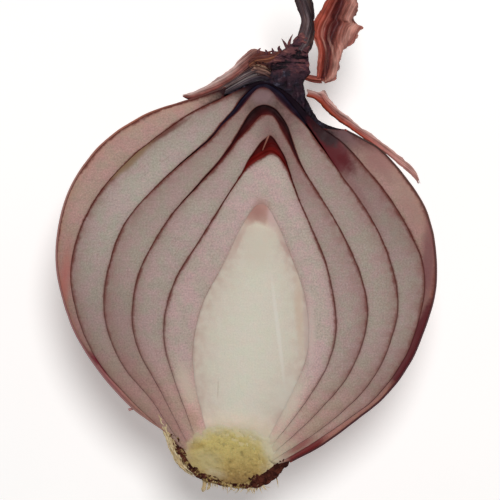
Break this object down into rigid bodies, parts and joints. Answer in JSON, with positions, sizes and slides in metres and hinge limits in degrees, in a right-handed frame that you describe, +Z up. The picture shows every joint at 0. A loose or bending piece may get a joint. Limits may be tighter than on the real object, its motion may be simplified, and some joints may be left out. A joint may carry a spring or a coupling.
{
  "type": "halved red onion",
  "caption": "Red onion cut lengthwise, lying on its round back with layered scales, heart, root plate and dried neck shown on the cut face.",
  "frame": {"origin": "centre of the small flat spot on the round back that the half rests on", "axes": "+Z up out of the cut face, +Y from the root to the neck, +X to the right of the cut face"},
  "size_m": [0.0766, 0.1052, 0.0356],
  "materials": {
    "outer_skin": "thin glossy dry red skin with fine lengthwise veins",
    "outer_flesh": "moist pinkish tan cut flesh, slightly glossy",
    "flesh": "moist grey pink cut flesh with purple edges",
    "inner_flesh": "moist pale pink cut flesh",
    "heart_flesh": "moist cream cut flesh",
    "root_plate_flesh": "rough fibrous yellow tissue",
    "root_cork": "dry dark crumbly cork",
    "dry_neck": "dry wrinkled dark fibres",
    "dry_leaf": "dry grey brown leaf",
    "torn_skin": "dry translucent red skin"
  },
  "bodies": {
    "root": {"tunic": "outer_skin", "scale_1": "outer_flesh", "scale_2": "flesh", "scale_3": "flesh", "scale_4": "flesh", "scale_5": "inner_flesh", "heart": "heart_flesh", "root_plate": "root_plate_flesh", "root_crust": "root_cork", "neck": "dry_neck", "leaf_stump": "dry_leaf", "torn_curl": "torn_skin", "torn_strip": "torn_skin", "torn_flap": "torn_skin"}
  },
  "joints": []
}
